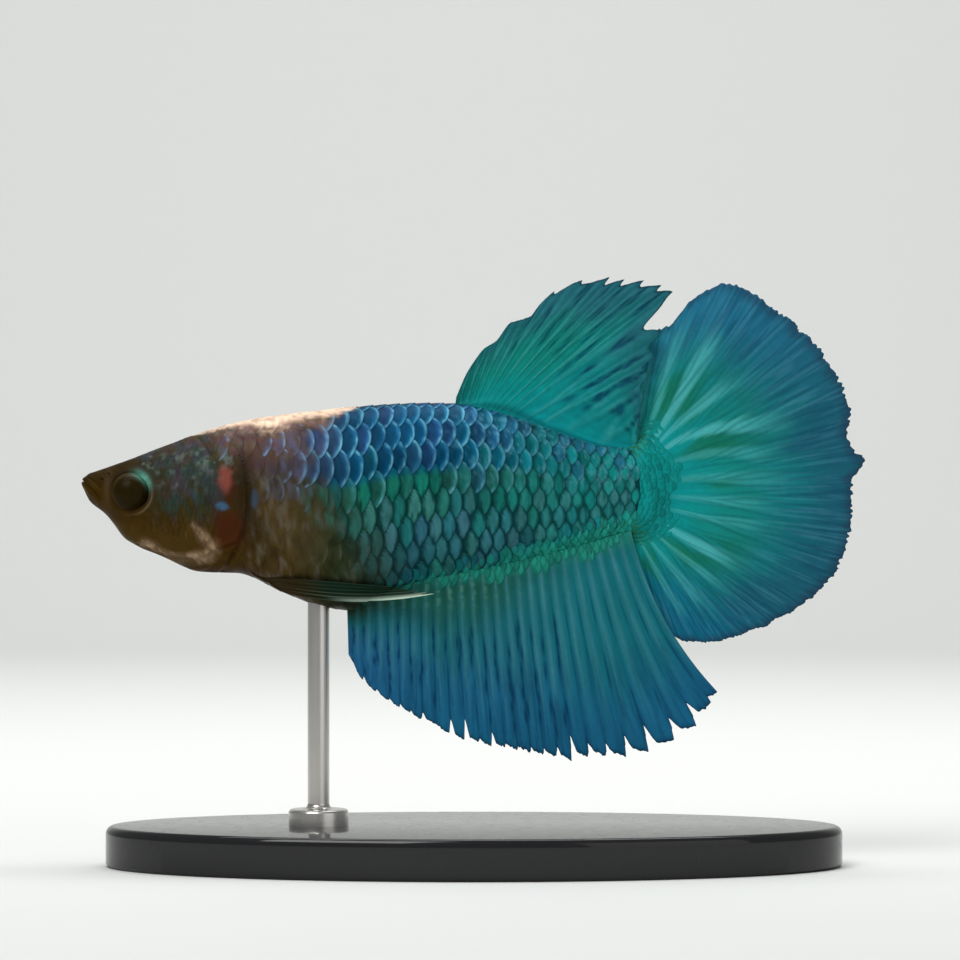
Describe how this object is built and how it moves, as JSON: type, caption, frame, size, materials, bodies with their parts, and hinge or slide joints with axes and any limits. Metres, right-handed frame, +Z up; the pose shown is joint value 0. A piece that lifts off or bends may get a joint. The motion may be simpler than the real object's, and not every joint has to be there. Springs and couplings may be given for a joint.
{
  "type": "betta fish model",
  "caption": "Still life-size betta fish with a high dorsal fin, a long anal fin and a wide half-moon tail, held level on a rod over a flat oval stand.",
  "frame": {"origin": "middle of the stand base's underside, on the surface that it stands on", "axes": "+Z up; +X towards the fish's tail, so the fish looks along -X; -Y is the fish's left side"},
  "size_m": [0.0578, 0.028, 0.0432],
  "materials": {
    "head_skin": "moist dark brown skin with small scales",
    "gill_cover": "dark brown scaled plates with red and blue-green glints",
    "body_skin": "iridescent turquoise and blue scales",
    "eye": "clear glossy cornea over a dark iris",
    "fin": "thin turquoise to blue membrane between rays",
    "pelvic_fin": "dark rays with a pale leading tip",
    "pectoral_fin": "clear membrane between fine rays",
    "stand_base": "satin black acrylic",
    "stand_metal": "brushed stainless steel"
  },
  "bodies": {
    "root": {"head": "head_skin", "jaw_lower": "head_skin", "gill_cover_left": "gill_cover", "gill_cover_right": "gill_cover", "trunk": "body_skin", "tail_stalk": "body_skin", "eye_left": "eye", "eye_right": "eye", "dorsal_fin": "fin", "anal_fin": "fin", "caudal_fin": "fin", "pelvic_fin_left": "pelvic_fin", "pelvic_fin_right": "pelvic_fin", "pectoral_fin_left": "pectoral_fin", "pectoral_fin_right": "pectoral_fin", "stand_base": "stand_base", "stand_rod": "stand_metal"}
  },
  "joints": []
}
